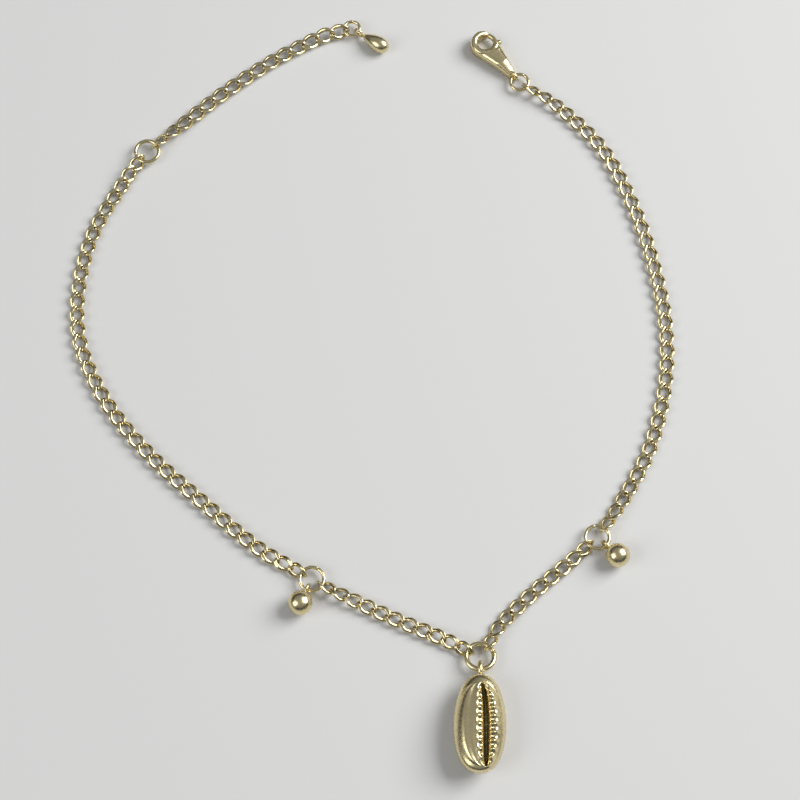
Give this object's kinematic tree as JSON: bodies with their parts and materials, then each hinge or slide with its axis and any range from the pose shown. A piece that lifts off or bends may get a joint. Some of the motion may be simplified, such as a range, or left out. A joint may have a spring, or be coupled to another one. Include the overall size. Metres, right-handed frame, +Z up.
{
  "type": "chain anklet",
  "caption": "Fine curb chain anklet lying open, with a cowrie shell charm, ball drops, a lobster clasp and an extender chain ending in a teardrop.",
  "frame": {"origin": "middle of the footprint, on the surface that the anklet lies on", "axes": "+Z up from the surface, +Y along the longest extent, from the shell charm towards the open ends, +X to the right as seen with the charm nearest"},
  "size_m": [0.0908, 0.1192, 0.005],
  "materials": {
    "chain": "pale gold plating, polished",
    "rings": "pale gold plating, polished",
    "cast": "pale gold plating, polished",
    "clasp": "pale gold plating, polished"
  },
  "bodies": {
    "anklet": {"chain_left_long": "chain", "chain_left_short": "chain", "chain_right_short": "chain", "chain_right_long": "chain", "extender_chain": "chain", "extender_ring": "rings", "ball_ring_left": "rings", "ball_ring_right": "rings", "pendant_ring": "rings", "clasp_ring": "rings", "end_ring": "rings", "ball_left": "cast", "ball_right": "cast", "end_drop": "cast", "cowrie_shell": "cast", "clasp_body": "clasp", "clasp_pin": "clasp"},
    "lever": {"clasp_lever": "clasp"}
  },
  "joints": [
    {"name": "lever_hinge", "type": "hinge", "parent": "anklet", "child": "lever", "pos_m": [0.0196, 0.05384, 0.0011], "axis": [0, 0, 1], "range_deg": [0, 25], "stiffness_Nm_per_rad": 0.002, "springref_deg": -17.19}
  ]
}
